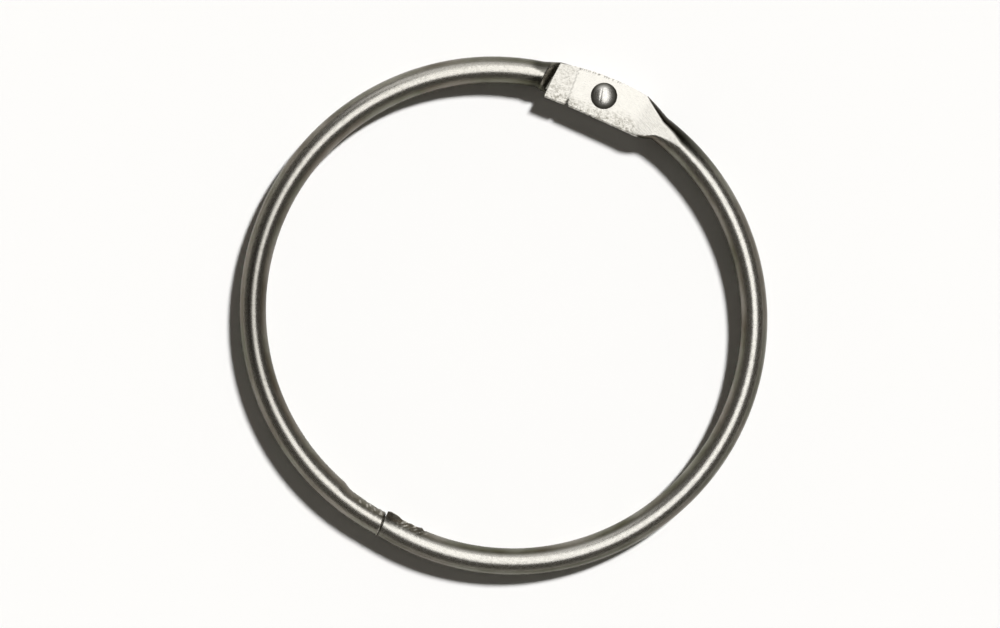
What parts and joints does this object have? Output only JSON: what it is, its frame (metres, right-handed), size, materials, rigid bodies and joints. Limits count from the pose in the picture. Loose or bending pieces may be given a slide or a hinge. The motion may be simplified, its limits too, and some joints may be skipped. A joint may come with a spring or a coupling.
{
  "type": "binder ring",
  "caption": "Hinged loose-leaf ring rolled from plated strip, with a flat clevis hinge on a domed rivet and a plug that closes into an open socket.",
  "frame": {"origin": "middle of the ring's eye, halfway between the rivet's axis and the closure, at half the wire's thickness", "axes": "+Z square to the ring's plane, on the side of the rivet's factory head; +Y towards the rivet; +X towards the clevis half, the longest extent"},
  "size_m": [0.0724, 0.0704, 0.0036],
  "materials": {
    "clevis_half": "bright nickel plate, dulled and scuffed on the hinge cheeks",
    "tongue_half": "bright nickel plate, drawn lengthwise along the wire",
    "rivet": "bright nickel plate, with a grimy line round the head"
  },
  "bodies": {
    "clevis_half": {"clevis_half": "clevis_half", "rivet": "rivet"},
    "tongue_half": {"tongue_half": "tongue_half"}
  },
  "joints": [
    {"name": "hinge", "type": "hinge", "parent": "clevis_half", "child": "tongue_half", "pos_m": [0, 0.0328, 0], "axis": [0, 0, -1], "range_deg": [0, 125]}
  ]
}
